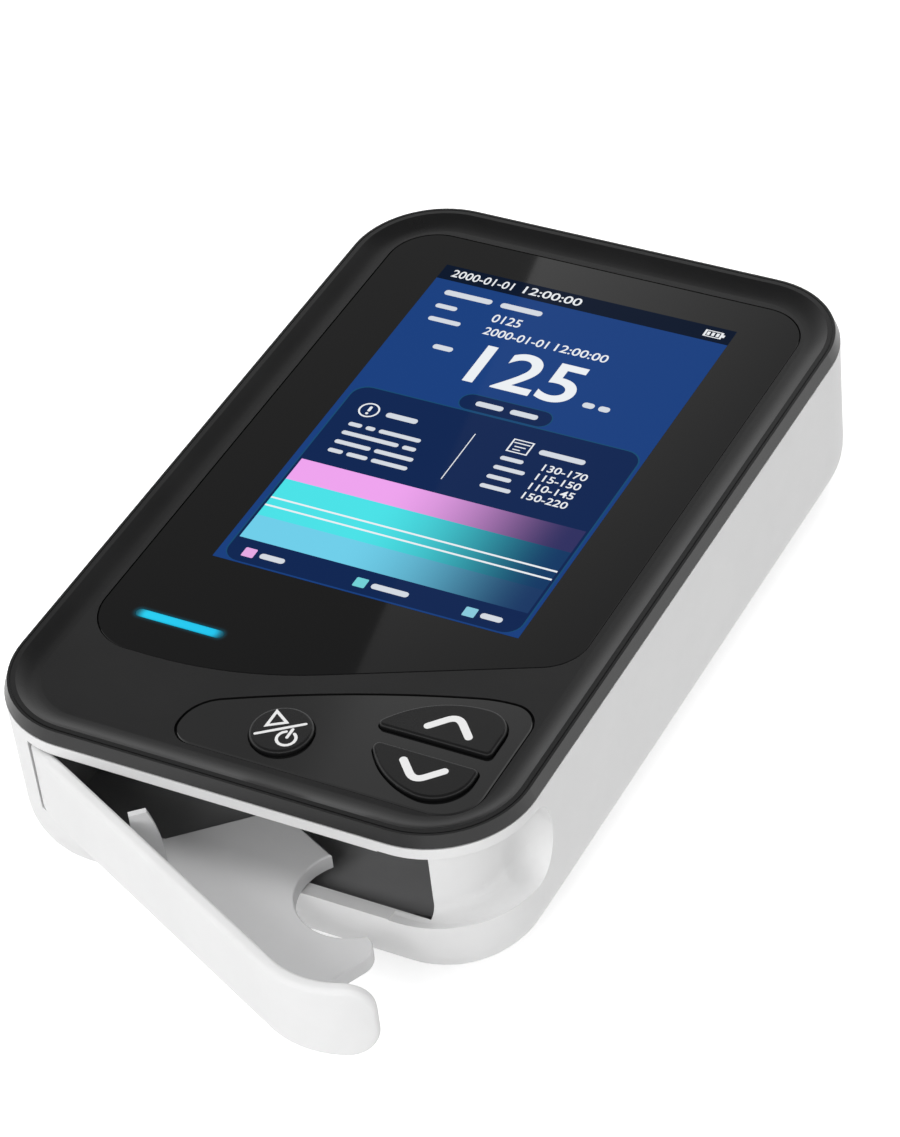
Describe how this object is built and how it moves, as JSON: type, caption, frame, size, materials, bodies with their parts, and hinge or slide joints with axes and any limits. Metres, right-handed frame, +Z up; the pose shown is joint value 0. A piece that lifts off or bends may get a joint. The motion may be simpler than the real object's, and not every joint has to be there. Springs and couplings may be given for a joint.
{
  "type": "hemoglobin analyzer",
  "caption": "Handheld blood hemoglobin analyzer: white case, black cover with display and keys, and a sample tray that swings out of the front.",
  "frame": {"origin": "middle of the flat underside of the case; the rubber feet reach 0.8 mm below it, and the open tray reaches past the body at the front", "axes": "+X to the right seen from the front, +Y from the tray end to the charging socket end, +Z up"},
  "size_m": [0.081, 0.154, 0.0306],
  "materials": {
    "cell_wrap": "foil wrap",
    "dark_liner": "matte moulding",
    "lens_glass": "polished",
    "chip_black": "moulded packages",
    "steel": "bright",
    "key_panel": "fine matte moulding",
    "display": "lit screen",
    "dark_window": "polished",
    "key_rubber": "smooth soft-touch",
    "foot_rubber": "matte",
    "circuit_board": "solder mask",
    "white_case": "fine satin moulding",
    "optic_black": "matte black",
    "light_guide": "frosted, lit from below",
    "black_cover": "satin moulding",
    "grey_tray": "satin moulding"
  },
  "bodies": {
    "case": {"battery": "cell_wrap", "bay_liner": "dark_liner", "beam_lenses": "lens_glass", "board_chips": "chip_black", "buzzer": "chip_black", "case_screws": "steel", "charging_port": "steel", "control_panel": "key_panel", "detent_spring": "steel", "display_bracket": "steel", "display_module": "display", "display_window": "dark_window", "feet": "foot_rubber", "hinge_pin": "steel", "key_board": "circuit_board", "key_switches": "steel", "light_detector": "chip_black", "light_source": "chip_black", "lower_housing": "white_case", "main_board": "circuit_board", "optical_block": "optic_black", "status_light": "light_guide", "top_cover": "black_cover"},
    "tray": {"tray_front": "white_case", "tray_plate": "grey_tray"},
    "power_key": {"power_button": "key_rubber"},
    "up_key": {"up_button": "key_rubber"},
    "down_key": {"down_button": "key_rubber"}
  },
  "joints": [
    {"name": "tray_swing", "type": "hinge", "parent": "case", "child": "tray", "pos_m": [-0.0299, -0.06262, 0.01945], "axis": [0, 0, -1], "range_deg": [-25.5, 9.5]},
    {"name": "power_press", "type": "slide", "parent": "case", "child": "power_key", "axis": [0, 0, -1], "range_m": [0, 0.0006], "stiffness_N_per_m": 2500, "springref_m": -0.0002},
    {"name": "up_press", "type": "slide", "parent": "case", "child": "up_key", "axis": [0, 0, -1], "range_m": [0, 0.0006], "stiffness_N_per_m": 2500, "springref_m": -0.0002},
    {"name": "down_press", "type": "slide", "parent": "case", "child": "down_key", "axis": [0, 0, -1], "range_m": [0, 0.0006], "stiffness_N_per_m": 2500, "springref_m": -0.0002}
  ]
}
